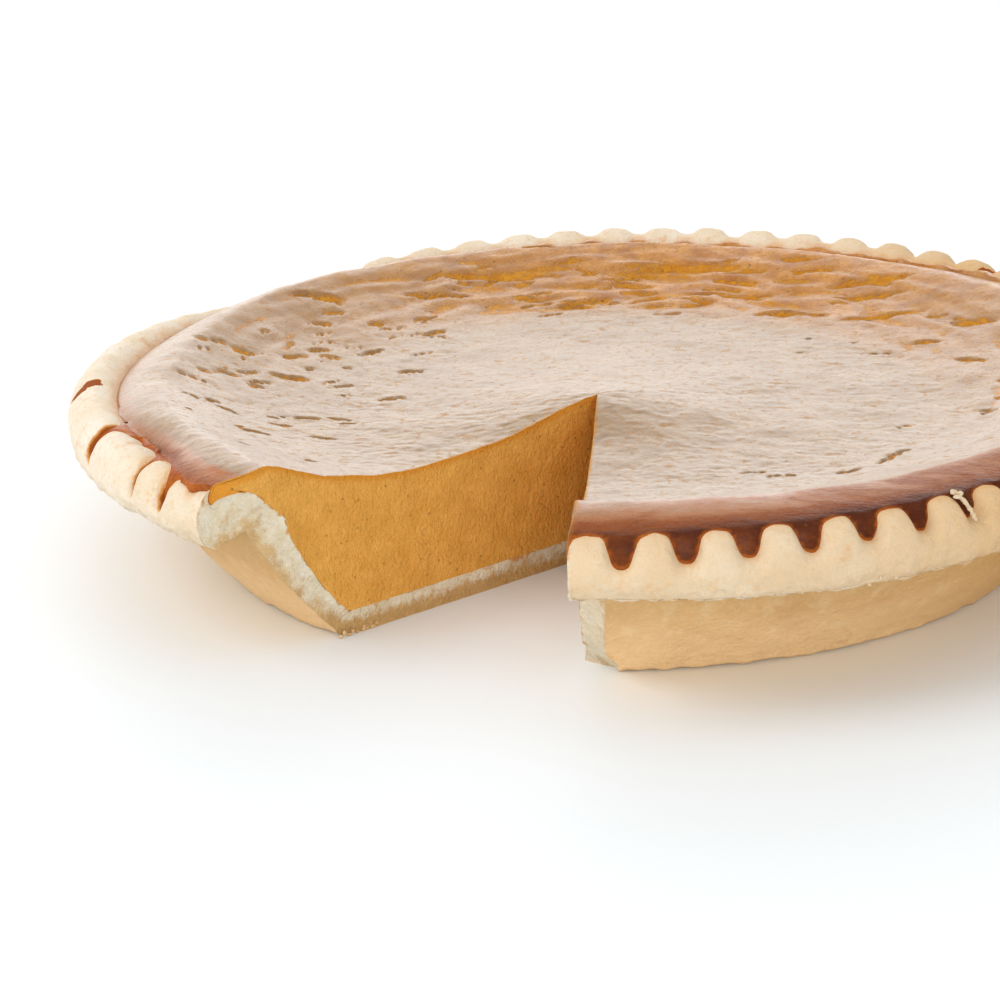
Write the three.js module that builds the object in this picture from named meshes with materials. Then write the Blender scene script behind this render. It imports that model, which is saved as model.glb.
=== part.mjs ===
// A baked pumpkin pie with one slice taken out: a pastry case with a crimped,
// overhanging rim, and a set custard that has risen in a ring inside the rim
// and run out into the crimps.
//
// Millimetres, +Z up. The origin is on the pie's axis at its underside. The
// slice is missing from the front left, between -Y and the -X -Y diagonal.

import * as THREE from 'three';

// ---- Driving dimensions -------------------------------------------------

// Pastry case
const baseRadius = 89.4;         // foot of the wall, outside
const baseThickness = 5.4;
const footHeight = 1.4;          // rounding where the base meets the wall
const footInset = 1.8;
const wallFlare = 21.6;          // how far the wall leans out below the rim
const wallFlareHeight = 28;
const wallFlarePower = 1.35;     // above 1: the wall steepens as it rises
const wallThickAtFoot = 5.0;     // measured level, not square to the wall
const wallThickAtRim = 8.0;

// Rim
const rimRadius = 123.6;         // outermost edge
const crestHeight = 39.4;        // top of the pastry
const lipHeight = 25.6;          // lowest edge of the overhang
const crimpPitch = 5.93;         // degrees from one crimp to the next
const firstCrimp = -90.1;        // degrees

// Custard
const centreHeight = 36.6;
const dipHeight = 32.4;
const centreDomeRadius = 24;
const riseStart = 60;            // radius where the surface starts to climb
const risePower = 2.4;
const ringRadius = 106;          // top of the risen ring
const ringHeight = 40.5;
const edgeThickness = 0.9;       // custard at the end of a run on the rim
const clearance = 0.4;           // gap between custard and pastry

// Missing slice
const tip = new THREE.Vector2(-5.5, -16);
const rightCut = -92.5;          // degrees, direction of each cut from the tip
const leftCut = -135.7;
const straightRadius = 85;       // inside this all lines run to the tip
const sound = { right: 0, left: 0 };             // degrees broken away at the cuts
const rimBroken = { right: -0.5, left: 2.6 };
const breakFrom = 0.12;          // along the rim section, where the break starts
const breakTo = 0.4;

// Rim section, from the inner side over the crest to the underside. inset is
// measured in from the outermost edge, up from the crest or from the lip, and
// pushIn and pushDown are what a crimp of depth 1 does to the point.
const rimSection = [
  { inset: 19.0, upFromCrest: -9.6, pushIn: 0, pushDown: 0 },
  { inset: 14.1, upFromCrest: -4.4, pushIn: 0, pushDown: 0.3 },
  { inset: 10.1, upFromCrest: -1.3, pushIn: 0.3, pushDown: 1.2 },
  { inset: 5.9, upFromCrest: 0, pushIn: 0.6, pushDown: 2.6 },
  { inset: 2.4, upFromCrest: -1.8, pushIn: 1.7, pushDown: 3.2 },
  { inset: 0.4, upFromCrest: -5.0, pushIn: 2.1, pushDown: 2.2 },
  { inset: 0, upFromCrest: -8.4, pushIn: 1.1, pushDown: 0.6 },
  { inset: 1.2, upFromLip: 2.2, pushIn: 0.2, pushDown: 0 },
  { inset: 4.0, upFromLip: 0, pushIn: 0, pushDown: 0 },
  { inset: 7.8, upFromLip: 1.0, pushIn: 0, pushDown: 0 },
  { inset: 12.5, upFromLip: 2.5, pushIn: 0, pushDown: 0 },
];
const crimpStops = [0.09, 0.25, 0.5, 0.75, 0.91];   // columns of points in one pitch
const crimpSharpness = 0.19;                        // half width, as a share of the pitch

// ---- Uneven forms, as smooth functions of the azimuth in degrees --------

// 1 at the centre azimuth, falling to 0 some widths away on both sides
function hump(azimuth, centre, width) {
  const turn = THREE.MathUtils.euclideanModulo(azimuth - centre + 180, 360) - 180;
  return Math.exp(-((turn / width) ** 2));
}

// A repeatable number from 0 to 1 for a whole number
function scatter(index, salt) {
  const wave = Math.sin(index * 12.9898 + salt * 78.233) * 43758.5453;
  return wave - Math.floor(wave);
}

function crestAt(azimuth) {
  const tilt = 0.8 * Math.cos(THREE.MathUtils.degToRad(azimuth - 40));
  return crestHeight + tilt - 3.2 * hump(azimuth, 138, 27) + 0.5 * hump(azimuth, -65, 25);
}

function lipAt(azimuth) {
  const wave = Math.sin(THREE.MathUtils.degToRad(azimuth * 7 + 40));
  return lipHeight + 0.45 * wave - 1.2 * hump(azimuth, 142, 35);
}

function rimRadiusAt(azimuth) {
  const wave = Math.sin(THREE.MathUtils.degToRad(azimuth * 3 + 20));
  return rimRadius + 0.3 * wave + 0.9 * hump(azimuth, 156, 26);
}

// The crimps are shallow at the back left, and deep beside the left cut
function crimpDepth(index) {
  const azimuth = firstCrimp + index * crimpPitch;
  const even = 1.15 - 1.0 * hump(azimuth, 160, 38) + 0.35 * hump(azimuth, -150, 12);
  return even * (0.85 + 0.3 * scatter(index, 1));
}

function ringHeightAt(azimuth) {
  const tilt = 1.8 * Math.cos(THREE.MathUtils.degToRad(azimuth + 115));
  return ringHeight + tilt - 1.2 * hump(azimuth, 142, 30);
}

function ringRadiusAt(azimuth) {
  return ringRadius - 6 * hump(azimuth, 168, 34);
}

// How far the custard reaches along the rim section, from 0 to 1, on the
// ridges between the crimps and in the crimps
function reachOnRidge(azimuth) {
  return 0.205 + 0.085 * hump(azimuth, -75, 55) - 0.055 * hump(azimuth, 80, 50)
    - 0.1 * hump(azimuth, 168, 32) + 0.14 * hump(azimuth, leftCut, 8);
}

function reachInCrimp(azimuth) {
  return reachOnRidge(azimuth) + 0.09 + 0.13 * hump(azimuth, -78, 34)
    - 0.06 * hump(azimuth, 160, 32);
}

// ---- Columns: one for each azimuth at which the sections are drawn -------

// Azimuth, seen from the axis, of the point of a cut at this radius
function azimuthOnCut(cutDirection, radius) {
  const angle = THREE.MathUtils.degToRad(cutDirection);
  const along = new THREE.Vector2(Math.cos(angle), Math.sin(angle));
  const towards = tip.dot(along);
  const distance = -towards + Math.sqrt(towards ** 2 - tip.lengthSq() + radius ** 2);
  const point = tip.clone().addScaledVector(along, distance);
  return THREE.MathUtils.radToDeg(Math.atan2(point.y, point.x));
}

const firstAzimuth = azimuthOnCut(rightCut, rimRadius);
const lastAzimuth = azimuthOnCut(leftCut, rimRadius) + 360;

function makeColumn(azimuth) {
  const place = (azimuth - firstCrimp) / crimpPitch;
  const nearest = Math.round(place);
  const away = (place - nearest) / crimpSharpness;
  return { azimuth, pinch: Math.exp(-(away ** 2)) * crimpDepth(nearest) };
}

function makeColumns(stops) {
  const crimps = Math.ceil(360 / crimpPitch);
  const columns = [makeColumn(firstAzimuth)];
  for (let index = -1; index < crimps; index += 1) {
    for (const stop of stops) {
      const azimuth = firstCrimp + (index + stop) * crimpPitch;
      if (azimuth > firstAzimuth + 0.7 && azimuth < lastAzimuth - 0.7) {
        columns.push(makeColumn(azimuth));
      }
    }
  }
  columns.push(makeColumn(lastAzimuth));
  return columns;
}

const fineColumns = makeColumns(crimpStops);
const coarseColumns = makeColumns([0]);

// ---- Sections: radius and height at a column -----------------------------

function wallOutside(height) {
  const left = Math.max(0, 1 - height / wallFlareHeight);
  return baseRadius + wallFlare * (1 - left ** wallFlarePower);
}

function wallInside(height) {
  const share = height / wallFlareHeight;
  return wallOutside(height) - THREE.MathUtils.lerp(wallThickAtFoot, wallThickAtRim, share);
}

// The rim section at a column, as a smooth curve from its inner side (0) over
// the crest to the underside (1)
function rimCurve(column) {
  const outer = rimRadiusAt(column.azimuth);
  const crest = crestAt(column.azimuth);
  const lip = lipAt(column.azimuth);
  const points = rimSection.map((row) => {
    const level = row.upFromLip === undefined ? crest + row.upFromCrest : lip + row.upFromLip;
    return new THREE.Vector2(
      outer - row.inset - row.pushIn * column.pinch,
      level - row.pushDown * column.pinch,
    );
  });
  return new THREE.SplineCurve(points);
}

// A point of a section: its radius, its height and, in degrees, how far it
// stands back from the right and the left cut where the ends are broken
function station(radius, height, broken = sound) {
  return { radius, height, broken };
}

// Towards its outer edge the rim is broken back beside the cuts
function rimBreak(share) {
  const part = THREE.MathUtils.smoothstep(share, breakFrom, breakTo);
  return { right: rimBroken.right * part, left: rimBroken.left * part };
}

// A point of the rim section, or some distance off it, above the pastry
function rimStation(column, share, distance = 0) {
  const curve = rimCurve(column);
  const along = curve.getTangent(share);
  const point = curve.getPoint(share);
  point.addScaledVector(new THREE.Vector2(-along.y, along.x), distance);
  return station(point.x, point.y, rimBreak(share));
}

function custardReach(column) {
  const blend = Math.min(1, column.pinch);
  return THREE.MathUtils.lerp(
    reachOnRidge(column.azimuth),
    reachInCrimp(column.azimuth),
    blend,
  );
}

// The custard's surface inside the ring
function custardSurface(azimuth, radius) {
  const dome = (centreHeight - dipHeight) * Math.exp(-((radius / centreDomeRadius) ** 2));
  const share = (radius - riseStart) / (ringRadiusAt(azimuth) - riseStart);
  const rise = Math.max(0, share) ** risePower * (ringHeightAt(azimuth) - dipHeight);
  return dipHeight + dome + rise;
}

// The custard's surface from the ring (0) to the end of its run (1)
function custardRun(column, share) {
  const reach = custardReach(column);
  const edge = rimStation(column, reach, clearance + edgeThickness);
  const top = ringHeightAt(column.azimuth);
  const radius = THREE.MathUtils.lerp(ringRadiusAt(column.azimuth), edge.radius, share);
  return station(radius, top - (top - edge.height) * share ** 2, rimBreak(reach * share));
}

// ---- Placing a section's point in space ----------------------------------

const cutBlend = 22;             // degrees over which lines turn to meet a cut
const breakBlend = 4;            // degrees over which a broken edge fades

function place(column, { radius, height, broken }) {
  const reach = Math.max(radius, straightRadius);
  const nearRight = column.azimuth - firstAzimuth;
  const nearLeft = lastAzimuth - column.azimuth;
  const rightShift = azimuthOnCut(rightCut, reach) - firstAzimuth;
  const leftShift = azimuthOnCut(leftCut, reach) + 360 - lastAzimuth;
  const azimuth = column.azimuth
    + rightShift * Math.exp(-nearRight / cutBlend)
    + leftShift * Math.exp(-nearLeft / cutBlend)
    + broken.right * Math.exp(-nearRight / breakBlend)
    - broken.left * Math.exp(-nearLeft / breakBlend);
  const angle = THREE.MathUtils.degToRad(azimuth);
  const outer = new THREE.Vector2(Math.cos(angle), Math.sin(angle)).multiplyScalar(reach);
  const point = tip.clone().lerp(outer, Math.min(1, radius / straightRadius));
  return new THREE.Vector3(point.x, point.y, height);
}

// ---- A closed solid from rings of points ---------------------------------

// Rings run from one cut to the other. The first and the last ring are single
// points at the tip, and the two ends are closed by flat caps.
// Where two solids lie against each other their rings run in opposite orders.
// lowerFirst then gives both the same diagonals, so that their gap stays even.
class RingSolid {
  constructor(lowerFirst) {
    this.lowerFirst = lowerFirst;
    this.points = [];
    this.triangles = [];
    this.rings = [];
  }

  addTip(height) {
    this.points.push(new THREE.Vector3(tip.x, tip.y, height));
    this.rings.push([{ azimuth: firstAzimuth, vertex: this.points.length - 1 }]);
  }

  // section gives the station of a column
  addRing(columns, section) {
    const ring = columns.map((column) => {
      this.points.push(place(column, section(column)));
      return { azimuth: column.azimuth, vertex: this.points.length - 1 };
    });
    this.rings.push(ring);
  }

  // Fills the band between two rings, which may have unequal numbers of points
  stitch(lower, upper) {
    let i = 0;
    let j = 0;
    while (i < lower.length - 1 || j < upper.length - 1) {
      const nextLower = i < lower.length - 1 ? lower[i + 1].azimuth : Infinity;
      const nextUpper = j < upper.length - 1 ? upper[j + 1].azimuth : Infinity;
      const lowerTurn = this.lowerFirst ? nextLower <= nextUpper : nextLower < nextUpper;
      if (lowerTurn) {
        this.triangles.push([lower[i].vertex, lower[i + 1].vertex, upper[j].vertex]);
        i += 1;
      } else {
        this.triangles.push([lower[i].vertex, upper[j + 1].vertex, upper[j].vertex]);
        j += 1;
      }
    }
  }

  // Closes one end: the outline is drawn flat, as distance from the tip and
  // height, and cut into triangles
  cap(outline, reversed) {
    const flat = outline.map((vertex) => {
      const point = this.points[vertex];
      return new THREE.Vector2(Math.hypot(point.x - tip.x, point.y - tip.y), point.z);
    });
    const clockwise = THREE.ShapeUtils.isClockWise(flat);
    for (const [a, b, c] of THREE.ShapeUtils.triangulateShape(flat, [])) {
      const turnsClockwise = THREE.ShapeUtils.isClockWise([flat[a], flat[b], flat[c]]);
      const order = turnsClockwise === clockwise ? [a, b, c] : [a, c, b];
      if (reversed) {
        order.reverse();
      }
      this.triangles.push(order.map((corner) => outline[corner]));
    }
  }

  geometry() {
    for (let ring = 1; ring < this.rings.length; ring += 1) {
      this.stitch(this.rings[ring - 1], this.rings[ring]);
    }
    this.cap(this.rings.map((ring) => ring[0].vertex), false);
    this.cap(this.rings.map((ring) => ring[ring.length - 1].vertex), true);
    const geometry = new THREE.BufferGeometry().setFromPoints(this.points);
    geometry.setIndex(this.triangles.flat());
    geometry.computeVertexNormals();
    return geometry;
  }
}

// ---- Pastry case ---------------------------------------------------------

const footBreakDepth = 3.2;
const footBroken = { right: 4.6, left: 0.6 };
const wallBroken = { right: 2.9, left: 0.8 };
const lipBroken = { right: 1.6, left: 2.4 };
const wallHeightsOutside = [7, 14, 21];
const wallHeightsInside = [10, 17, 24];
const coveredRings = 3;          // from the inner side to the custard's edge
const bareRings = 4;             // from there to the lip
const lipShare = 0.8;
const cornerRadius = wallInside(baseThickness) - 1;

function crustGeometry() {
  const solid = new RingSolid(true);
  const footRadius = baseRadius - footInset;
  solid.addTip(0);
  solid.addRing(coarseColumns, () => station(footRadius / 2, 0));
  solid.addRing(coarseColumns, () => station(footRadius - footBreakDepth, 0));
  solid.addRing(coarseColumns, () => station(footRadius, 0, footBroken));
  solid.addRing(coarseColumns, () => station(wallOutside(footHeight), footHeight, footBroken));
  for (const height of wallHeightsOutside) {
    solid.addRing(coarseColumns, () => station(wallOutside(height), height, wallBroken));
  }
  for (const share of [1, 0.9]) {
    const section = (column) => ({ ...rimStation(column, share), broken: lipBroken });
    solid.addRing(fineColumns, section);
  }
  for (let ring = bareRings; ring > 0; ring -= 1) {
    const section = (column) => {
      const reach = custardReach(column);
      return rimStation(column, reach + (lipShare - reach) * (ring / bareRings));
    };
    solid.addRing(fineColumns, section);
  }
  for (let ring = coveredRings; ring >= 0; ring -= 1) {
    const section = (column) => rimStation(column, custardReach(column) * (ring / coveredRings));
    solid.addRing(fineColumns, section);
  }
  for (const height of [...wallHeightsInside].reverse()) {
    solid.addRing(coarseColumns, () => station(wallInside(height), height));
  }
  solid.addRing(coarseColumns, () => station(cornerRadius, baseThickness));
  solid.addRing(coarseColumns, () => station(cornerRadius / 2, baseThickness));
  solid.addTip(baseThickness);
  return solid.geometry();
}

// ---- Custard -------------------------------------------------------------

const runShares = [1, 0.8, 0.4];
const ringParts = [0.955, 0.88, 0.79, 0.68, 0.5, 0.33, 0.17];   // of the ring's radius

function fillingGeometry() {
  const solid = new RingSolid(false);
  const floor = baseThickness + clearance;
  solid.addTip(floor);
  solid.addRing(coarseColumns, () => station(cornerRadius / 2, floor));
  solid.addRing(coarseColumns, () => station(cornerRadius - clearance, floor));
  for (const height of wallHeightsInside) {
    solid.addRing(coarseColumns, () => station(wallInside(height) - clearance, height));
  }
  for (let ring = 0; ring <= coveredRings; ring += 1) {
    const section = (column) => {
      return rimStation(column, custardReach(column) * (ring / coveredRings), clearance);
    };
    solid.addRing(fineColumns, section);
  }
  for (const share of runShares) {
    solid.addRing(fineColumns, (column) => custardRun(column, share));
  }
  solid.addRing(coarseColumns, (column) => custardRun(column, 0));
  for (const part of ringParts) {
    const section = (column) => {
      const radius = ringRadiusAt(column.azimuth) * part;
      return station(radius, custardSurface(column.azimuth, radius));
    };
    solid.addRing(coarseColumns, section);
  }
  solid.addTip(custardSurface(rightCut, tip.length()));
  return solid.geometry();
}

// ---- The pie -------------------------------------------------------------

function makePiece(name, geometry, colour, roughness) {
  const material = new THREE.MeshStandardMaterial({ color: colour, roughness, metalness: 0 });
  const piece = new THREE.Mesh(geometry, material);
  piece.name = name;
  return piece;
}

const pie = new THREE.Group();
pie.add(makePiece('crust', crustGeometry(), 0xe8c793, 0.75));
pie.add(makePiece('filling', fillingGeometry(), 0xc98d55, 0.4));

export default pie;
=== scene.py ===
# %% [markdown]
# # A pumpkin pie with one slice taken out
#
# The pie is two things baked together: a shortcrust case with a crimped rim,
# and a set custard that rose in a ring, ran out over the rim and browned
# there. Both follow one round section, so each is made by sweeping a flat
# strip round the pie's axis and then bending it to the real section.

import bisect
import math
import random

import bmesh
import bpy
from mathutils import Matrix, Vector, kdtree, noise


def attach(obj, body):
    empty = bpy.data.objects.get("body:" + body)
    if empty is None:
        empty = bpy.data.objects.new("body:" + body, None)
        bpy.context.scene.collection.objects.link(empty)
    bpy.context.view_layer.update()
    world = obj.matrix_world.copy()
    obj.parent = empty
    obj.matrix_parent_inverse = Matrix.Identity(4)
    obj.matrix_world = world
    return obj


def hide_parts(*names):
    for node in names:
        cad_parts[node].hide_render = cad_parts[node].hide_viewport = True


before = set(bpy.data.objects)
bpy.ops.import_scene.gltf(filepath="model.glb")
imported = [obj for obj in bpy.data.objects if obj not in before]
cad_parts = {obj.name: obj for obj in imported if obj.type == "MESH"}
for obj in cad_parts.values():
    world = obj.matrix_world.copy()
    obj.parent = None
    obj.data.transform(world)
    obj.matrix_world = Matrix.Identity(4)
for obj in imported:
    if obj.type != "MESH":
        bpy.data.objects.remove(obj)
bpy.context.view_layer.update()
MM = 0.001

# %% [markdown]
# ## Camera
#
# A food picture is taken with a long lens from a little above the table. The
# camera aims at the pie's axis from 0.9 m. It is then turned a little, so
# that the pie runs out of the picture on the right.

# %% Make the camera
LENS = 143.67
SENSOR_WIDTH = 36
DISTANCE = 0.9
ELEVATION = math.radians(18.78)
PAN = math.radians(-1.776)
TILT = math.radians(0.446)
ROLL = math.radians(0.642)


def make_camera():
    data = bpy.data.cameras.new("camera")
    data.lens, data.sensor_width, data.clip_start = LENS, SENSOR_WIDTH, 0.05
    camera = bpy.data.objects.new("camera", data)
    bpy.context.scene.collection.objects.link(camera)
    aim = Matrix.Rotation(math.pi / 2 - ELEVATION, 4, "X") @ Matrix.Translation((0, 0, DISTANCE))
    for turn, axis in ((-PAN, "Y"), (TILT, "X"), (-ROLL, "Z")):
        aim = aim @ Matrix.Rotation(turn, 4, axis)
    camera.matrix_world = aim
    return camera


bpy.context.scene.camera = make_camera()
print("camera at", tuple(round(c, 3) for c in bpy.context.scene.camera.matrix_world.translation))

# %% [markdown]
# ## Studio
#
# The light is soft and comes from all sides: a bright world that is brighter
# behind the pie, where a white wall is, a large soft light from the upper
# left, a second one low in front, and a plain pale floor.

# %% Make the floor, the world and the lights


def add_node(tree, kind, inputs=None, **settings):
    """One shader node with its settings and the values or links of its inputs."""
    node = tree.nodes.new(kind)
    for name, value in settings.items():
        setattr(node, name, value)
    for name, value in (inputs or {}).items():
        if isinstance(value, bpy.types.NodeSocket):
            tree.links.new(value, node.inputs[name])
        else:
            node.inputs[name].default_value = value
    return node


def new_material(name):
    """A material with an empty tree, its output node and its shader."""
    material = bpy.data.materials.new(name)
    material.use_nodes = True
    tree = material.node_tree
    tree.nodes.clear()
    output = tree.nodes.new("ShaderNodeOutputMaterial")
    shader = tree.nodes.new("ShaderNodeBsdfPrincipled")
    tree.links.new(shader.outputs["BSDF"], output.inputs["Surface"])
    return material, tree, shader


def mesh_object(name, mesh):
    """Turns a bmesh into an object of the scene."""
    data = bpy.data.meshes.new(name)
    mesh.to_mesh(data)
    mesh.free()
    piece = bpy.data.objects.new(name, data)
    bpy.context.scene.collection.objects.link(piece)
    return piece


FLOOR_SIZE = 6.0
FLOOR_COLOUR = (0.88, 0.915, 0.93, 1)
WORLD_ROOM = 0.80            # light from all over the room
WORLD_BACK = 2.70            # light from the white wall behind the pie
WALL_EDGES = (0.70, 0.94)    # how far back a direction points at the wall's soft edge
LIGHT_TARGET = (0, 0, 0.03)
# Name, place and size in metres, and power in watts
LIGHTS = [("soft_key", (-1.2, -0.3, 1.1), 1.0, 9), ("soft_front", (0.25, -1.7, 0.30), 0.9, 9.5)]


def make_floor():
    mesh = bmesh.new()
    bmesh.ops.create_grid(mesh, x_segments=1, y_segments=1, size=FLOOR_SIZE / 2)
    floor = mesh_object("floor", mesh)
    material, _, shader = new_material("floor_paper")
    shader.inputs["Base Color"].default_value = FLOOR_COLOUR
    shader.inputs["Roughness"].default_value = 0.6
    floor.data.materials.append(material)


def make_world():
    world = bpy.data.worlds.new("studio")
    world.use_nodes = True
    tree = world.node_tree
    background = tree.nodes["Background"]
    background.inputs["Color"].default_value = (1, 1, 1, 1)
    direction = add_node(tree, "ShaderNodeTexCoord").outputs["Generated"]
    depth = add_node(tree, "ShaderNodeSeparateXYZ", {"Vector": direction}).outputs["Y"]
    strength = add_node(tree, "ShaderNodeMapRange", {
        "Value": depth, "From Min": WALL_EDGES[0], "From Max": WALL_EDGES[1],
        "To Min": WORLD_ROOM, "To Max": WORLD_BACK},
        interpolation_type="SMOOTHSTEP").outputs["Result"]
    tree.links.new(strength, background.inputs["Strength"])
    bpy.context.scene.world = world


def make_light(name, place, size, power):
    data = bpy.data.lights.new(name, "AREA")
    data.shape = "SQUARE"
    data.size = size
    data.energy = power
    light = bpy.data.objects.new(name, data)
    light.location = place
    aim = Vector(LIGHT_TARGET) - Vector(place)
    light.rotation_euler = aim.to_track_quat("-Z", "Y").to_euler()
    bpy.context.scene.collection.objects.link(light)


make_floor()
make_world()
for light in LIGHTS:
    make_light(*light)
bpy.context.scene.view_settings.view_transform = "Standard"
print("world", WORLD_ROOM, "to", WORLD_BACK, "and lights", [light[0] for light in LIGHTS])

# %% [markdown]
# ## Driving dimensions
#
# These are the same values, in millimetres and degrees, as those of the
# solids that the looks are built around: the foot and the flare of the case,
# the rim with its crimps, the custard's levels, and the two cuts that meet at
# the tip. Two values keep the dressed pie inside the solids' box: the rim's
# edge is drawn in by the inset, and no custard rises above the highest level.

# %% Dimensions of the case, the rim, the custard and the cuts
BASE_RADIUS = 89.4
BASE_THICKNESS = 5.4
FOOT_HEIGHT = 1.4
FOOT_RADIUS = 87.6
WALL_FLARE = 21.6
FLARE_HEIGHT = 28
FLARE_POWER = 1.35
WALL_AT_FOOT = 5.0
WALL_AT_RIM = 8.0

RIM_RADIUS = 123.6
RIM_INSET = 0.6
CREST_HEIGHT = 39.4
LIP_HEIGHT = 25.6
CRIMP_PITCH = 5.93
FIRST_CRIMP = -90.1

CENTRE_HEIGHT = 36.6
DIP_HEIGHT = 32.4
DOME_RADIUS = 24
RISE_START = 60
RISE_POWER = 2.4
RING_RADIUS = 106
RING_HEIGHT = 40.5
HIGHEST_CUSTARD = 42.2

TIP = Vector((-5.5, -16))
RIGHT_CUT = -92.5
LEFT_CUT = -135.7
STRAIGHT_RADIUS = 85
CUT_BLEND = 22               # degrees over which the lines turn towards a cut
BREAK_BLEND = 4              # degrees over which the broken rim ends
RIM_BROKEN = (-0.5, 2.6)     # degrees that the rim stands back at the right and the left cut
BREAK_PART = (0.12, 0.4)     # shares of the rim section where the break starts and is full

# Rim section over the crest to the underside: inset from the outermost edge,
# height from the crest or, from the first lip row on, from the lip, and how
# far a crimp pushes the point in and down
RIM_SECTION = [
    (19.0, -9.6, 0, 0), (14.1, -4.4, 0, 0.3), (10.1, -1.3, 0.3, 1.2), (5.9, 0, 0.6, 2.5),
    (2.4, -1.8, 1.6, 2.8), (0.4, -5.0, 1.1, 0.9), (0, -8.4, 0.3, 0.1),
    (1.2, 2.2, 0.2, 0), (4.0, 0, 0, 0), (7.8, 1.0, 0, 0), (12.5, 2.5, 0, 0),
]
FIRST_LIP_ROW = 7
print("rim section has", len(RIM_SECTION), "rows")

# %% [markdown]
# ## Uneven forms
#
# Nothing hand-made is quite round or level. A hump is a smooth bell over the
# azimuth, in degrees. Sums of a few humps raise and lower the crest, the lip
# and the custard, and say how deep each crimp is pressed. At the left the
# pastry is pressed into a few large knuckles instead, with narrow creases
# between them.

# %% Smooth functions of the azimuth
# Height, centre and width of each hump
CREST_HUMPS = [(-3.3, 138, 27), (-2.6, 139, 14), (0.5, -65, 25), (0.9, 228, 7)]
RING_HUMPS = [(-1.2, 142, 30), (1.1, 140, 16), (-1.7, 186, 24)]
RING_RADIUS_HUMPS = [(-6, 168, 34), (3, 229, 10)]
ARCH_HUMPS = [(0.085, -75, 55), (-0.095, 80, 50), (-0.055, 172, 30), (-0.05, 206, 9),
              (0.12, 224, 8)]
REACH_HUMPS = [(0.07, -82, 25), (-0.055, 160, 36)]
CRIMP_HUMPS = [(-0.95, 156, 44), (-0.38, 75, 50)]


def lerp(low, high, share):
    return low + (high - low) * share


def lerp_all(low, high, share):
    return tuple(lerp(start, end, share) for start, end in zip(low, high))


def smoothstep(value, low, high):
    share = min(1.0, max(0.0, (value - low) / (high - low)))
    return share * share * (3 - 2 * share)


def hump(azimuth, centre, width):
    turn = (azimuth - centre + 180) % 360 - 180
    return math.exp(-((turn / width) ** 2))


def humps(azimuth, table):
    return sum(height * hump(azimuth, centre, width) for height, centre, width in table)


def scatter(index, salt):
    """A repeatable number from 0 to 1 for a whole number."""
    wave = math.sin(index * 12.9898 + salt * 78.233) * 43758.5453
    return wave - math.floor(wave)


def sine(degrees):
    return math.sin(math.radians(degrees))


def crest_at(azimuth):
    return CREST_HEIGHT + 0.8 * sine(azimuth + 50) + humps(azimuth, CREST_HUMPS)


def lip_at(azimuth):
    return LIP_HEIGHT + 0.45 * sine(azimuth * 7 + 40) - 1.2 * hump(azimuth, 142, 35)


def rim_radius_at(azimuth):
    return RIM_RADIUS + 0.3 * sine(azimuth * 3 + 20) + 0.9 * hump(azimuth, 156, 26)


def ring_height_at(azimuth):
    return RING_HEIGHT + 1.8 * sine(azimuth + 205) + humps(azimuth, RING_HUMPS)


def ring_radius_at(azimuth):
    return RING_RADIUS + humps(azimuth, RING_RADIUS_HUMPS)


print("crest", [round(crest_at(a), 1) for a in (-90, 0, 90, 180)])

# %% [markdown]
# The crimps are counted from the right cut. Each is a groove with a round
# back beside it. The custard ends lower on the ridges, where it leaves
# arches bare, than in the grooves, where it runs out in tongues.

# %% Crimps, arches and tongues
# By crimp number: depth of the creases at the left, how far the custard runs into
# them along the rim section, and strength and width of the stains in them
CREASES = {43: 0.25, 44: 0.18, 45: 0.12, 46: 0.10, 47: 0.10, 48: 0.14,
           49: 1.0, 50: 0.2, 51: 1.1, 52: 1.3, 53: 0.05}
RUNS = {0: 0.20, 42: 0.03, 43: 0.01, 44: 0.0, 45: 0.0, 46: 0.0, 47: 0.0, 48: 0.02,
        49: 0.32, 50: 0.05, 51: 0.15, 52: 0.16, 53: 0.05}
STAINS = {49: (1.0, 0.19), 51: (0.8, 0.085), 52: (1.0, 0.12)}
# Width and steepness of a groove at an even crimp and at a crease
EVEN_GROOVE = (0.215, 4.0)
CREASE_GROOVE = (0.085, 1.7)
# Where the crimps lean and their tongues are pointed, and how many degrees they lean
LEANING = (-48, 24)
LEAN = 2.3


def crimp_depth(index):
    even = 1.05 + humps(FIRST_CRIMP + index * CRIMP_PITCH, CRIMP_HUMPS)
    return CREASES.get(index, even * (0.85 + 0.3 * scatter(index, 1)))


def crimp_at(azimuth):
    """Number of the nearest crimp and the distance to it, in crimp pitches."""
    place = (azimuth - FIRST_CRIMP) / CRIMP_PITCH
    nearest = round(place)
    return nearest, abs(place - nearest)


def pinch_at(azimuth):
    """How far the pastry is pressed in: a groove, and a round back between grooves."""
    nearest, away = crimp_at(azimuth)
    crease = hump(azimuth, 210, 15)
    width, power = (lerp(even, sharp, crease) for even, sharp in zip(EVEN_GROOVE, CREASE_GROOVE))
    groove = math.exp(-((away / width) ** power))
    back = math.cos(math.pi * away) ** 2
    return (0.68 * groove + 0.32 * back) * crimp_depth(nearest)


def arch_at(azimuth):
    """Share of the rim section where the ridges rise out of the custard."""
    return 0.205 + humps(azimuth, ARCH_HUMPS)


def tongue_at(azimuth):
    """Share of the rim section where the custard ends in the nearest crimp."""
    nearest, away = crimp_at(azimuth)
    centre = FIRST_CRIMP + nearest * CRIMP_PITCH
    reach = 0.085 + humps(centre, REACH_HUMPS) + 0.04 * (scatter(nearest, 3) - 0.5)
    reach = RUNS.get(nearest, reach)
    pointed = hump(centre, *LEANING)
    shorter = lerp(1, lerp(0.62, 0.35, pointed), smoothstep(away, 0.04 * (1 - pointed), 0.3))
    return arch_at(azimuth) + reach * shorter


print("depths of the creases", [round(crimp_depth(i), 2) for i in CREASES])

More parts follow.
